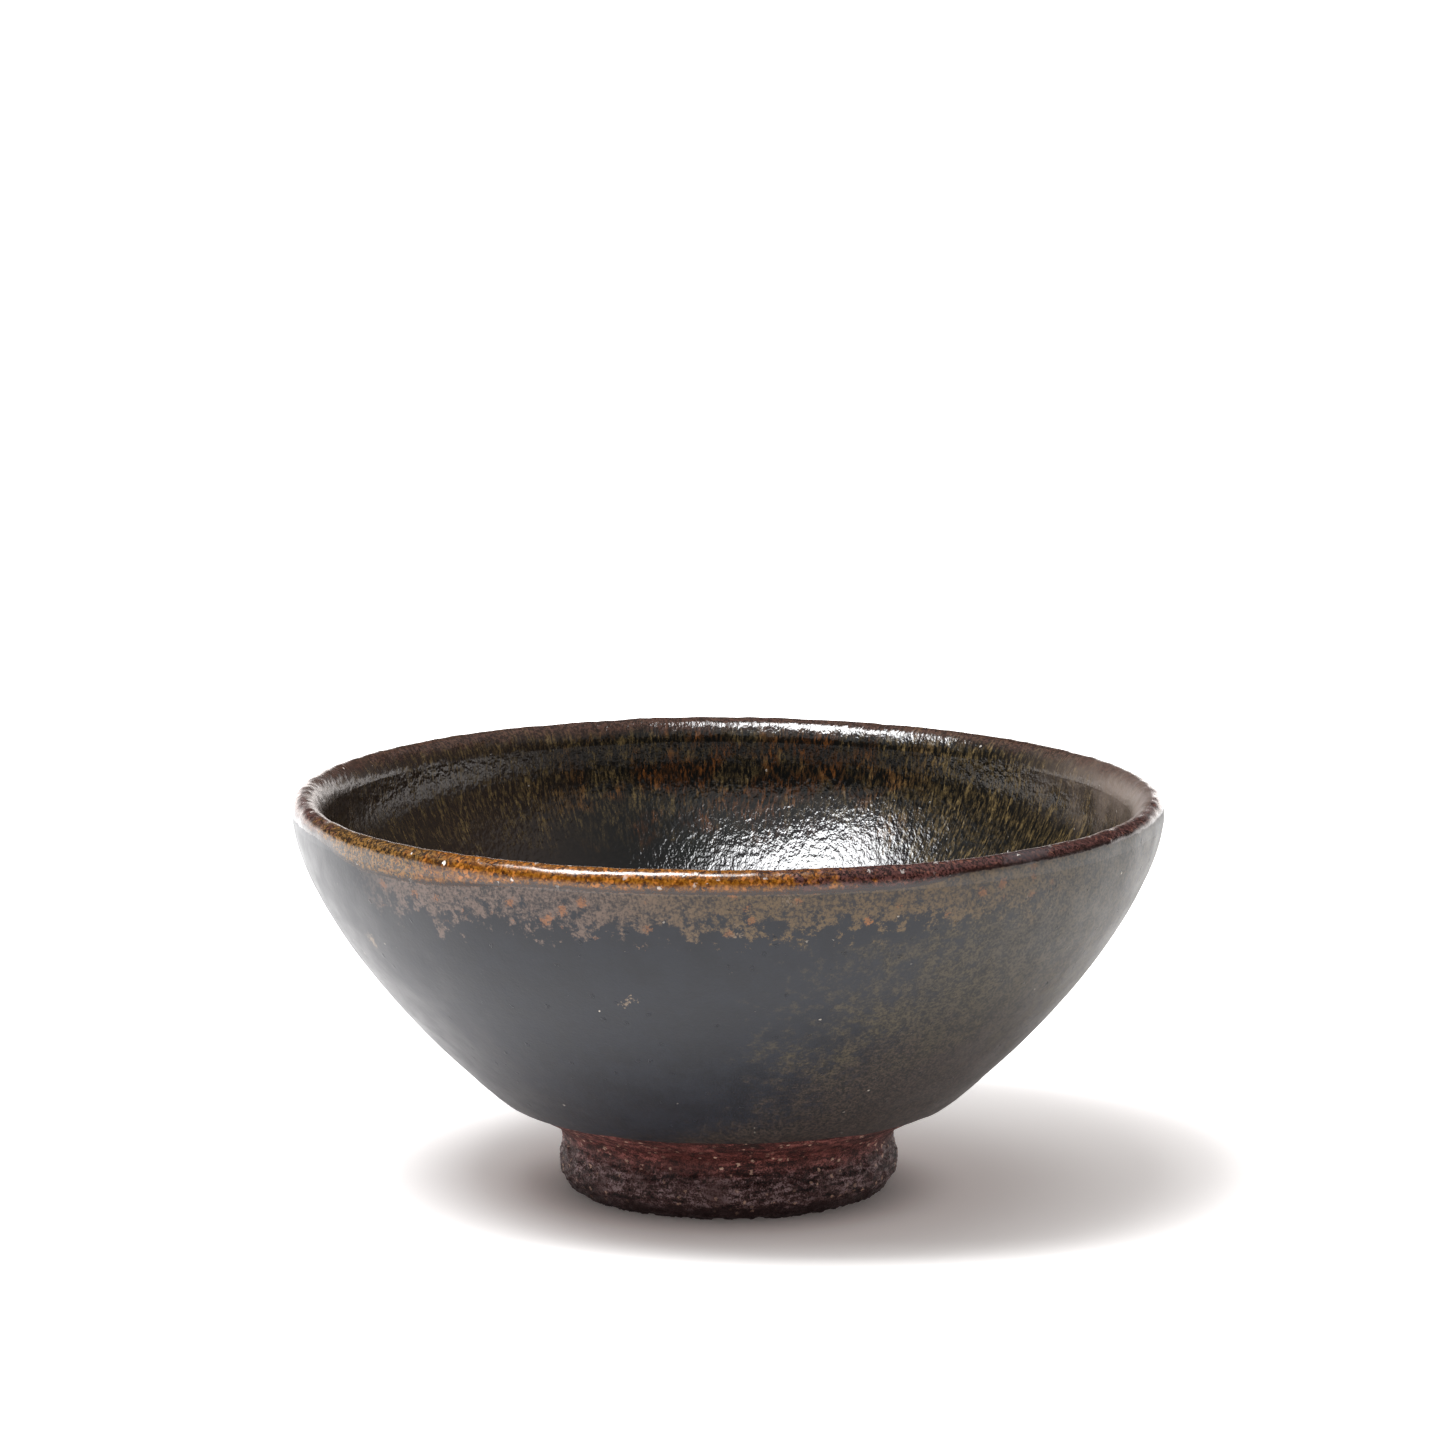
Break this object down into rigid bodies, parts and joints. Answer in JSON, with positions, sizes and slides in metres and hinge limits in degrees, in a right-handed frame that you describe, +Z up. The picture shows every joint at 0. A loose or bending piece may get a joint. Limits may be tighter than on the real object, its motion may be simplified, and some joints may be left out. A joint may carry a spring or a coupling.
{
  "type": "matcha bowl",
  "caption": "Wheel-thrown stoneware tea bowl with a wide open mouth, straight flaring flank, upright rounded lip, small separate foot ring and iron glazes.",
  "frame": {"origin": "centre of the face that the foot ring stands on", "axes": "+Z up along the bowl's axis; +Y towards the far side, +X to the right, as seen from the bowl's front"},
  "size_m": [0.12, 0.12, 0.056],
  "materials": {
    "stoneware": "unglazed dark stoneware, matte",
    "foot_clay": "rough unglazed stoneware, matte, with tooling grooves and grit",
    "iron_slip": "red-brown iron wash, matte",
    "black_glaze": "satin blue-black iron glaze, mottled olive brown on one side",
    "amber_glaze": "glossy amber to purple-brown glaze",
    "streaked_glaze": "glossy black glaze with amber hare's-fur streaks"
  },
  "bodies": {
    "root": {"clay_body": "stoneware", "foot_ring": "foot_clay", "iron_slip": "iron_slip", "outer_glaze": "black_glaze", "lip_glaze": "amber_glaze", "inner_glaze": "streaked_glaze"}
  },
  "joints": []
}
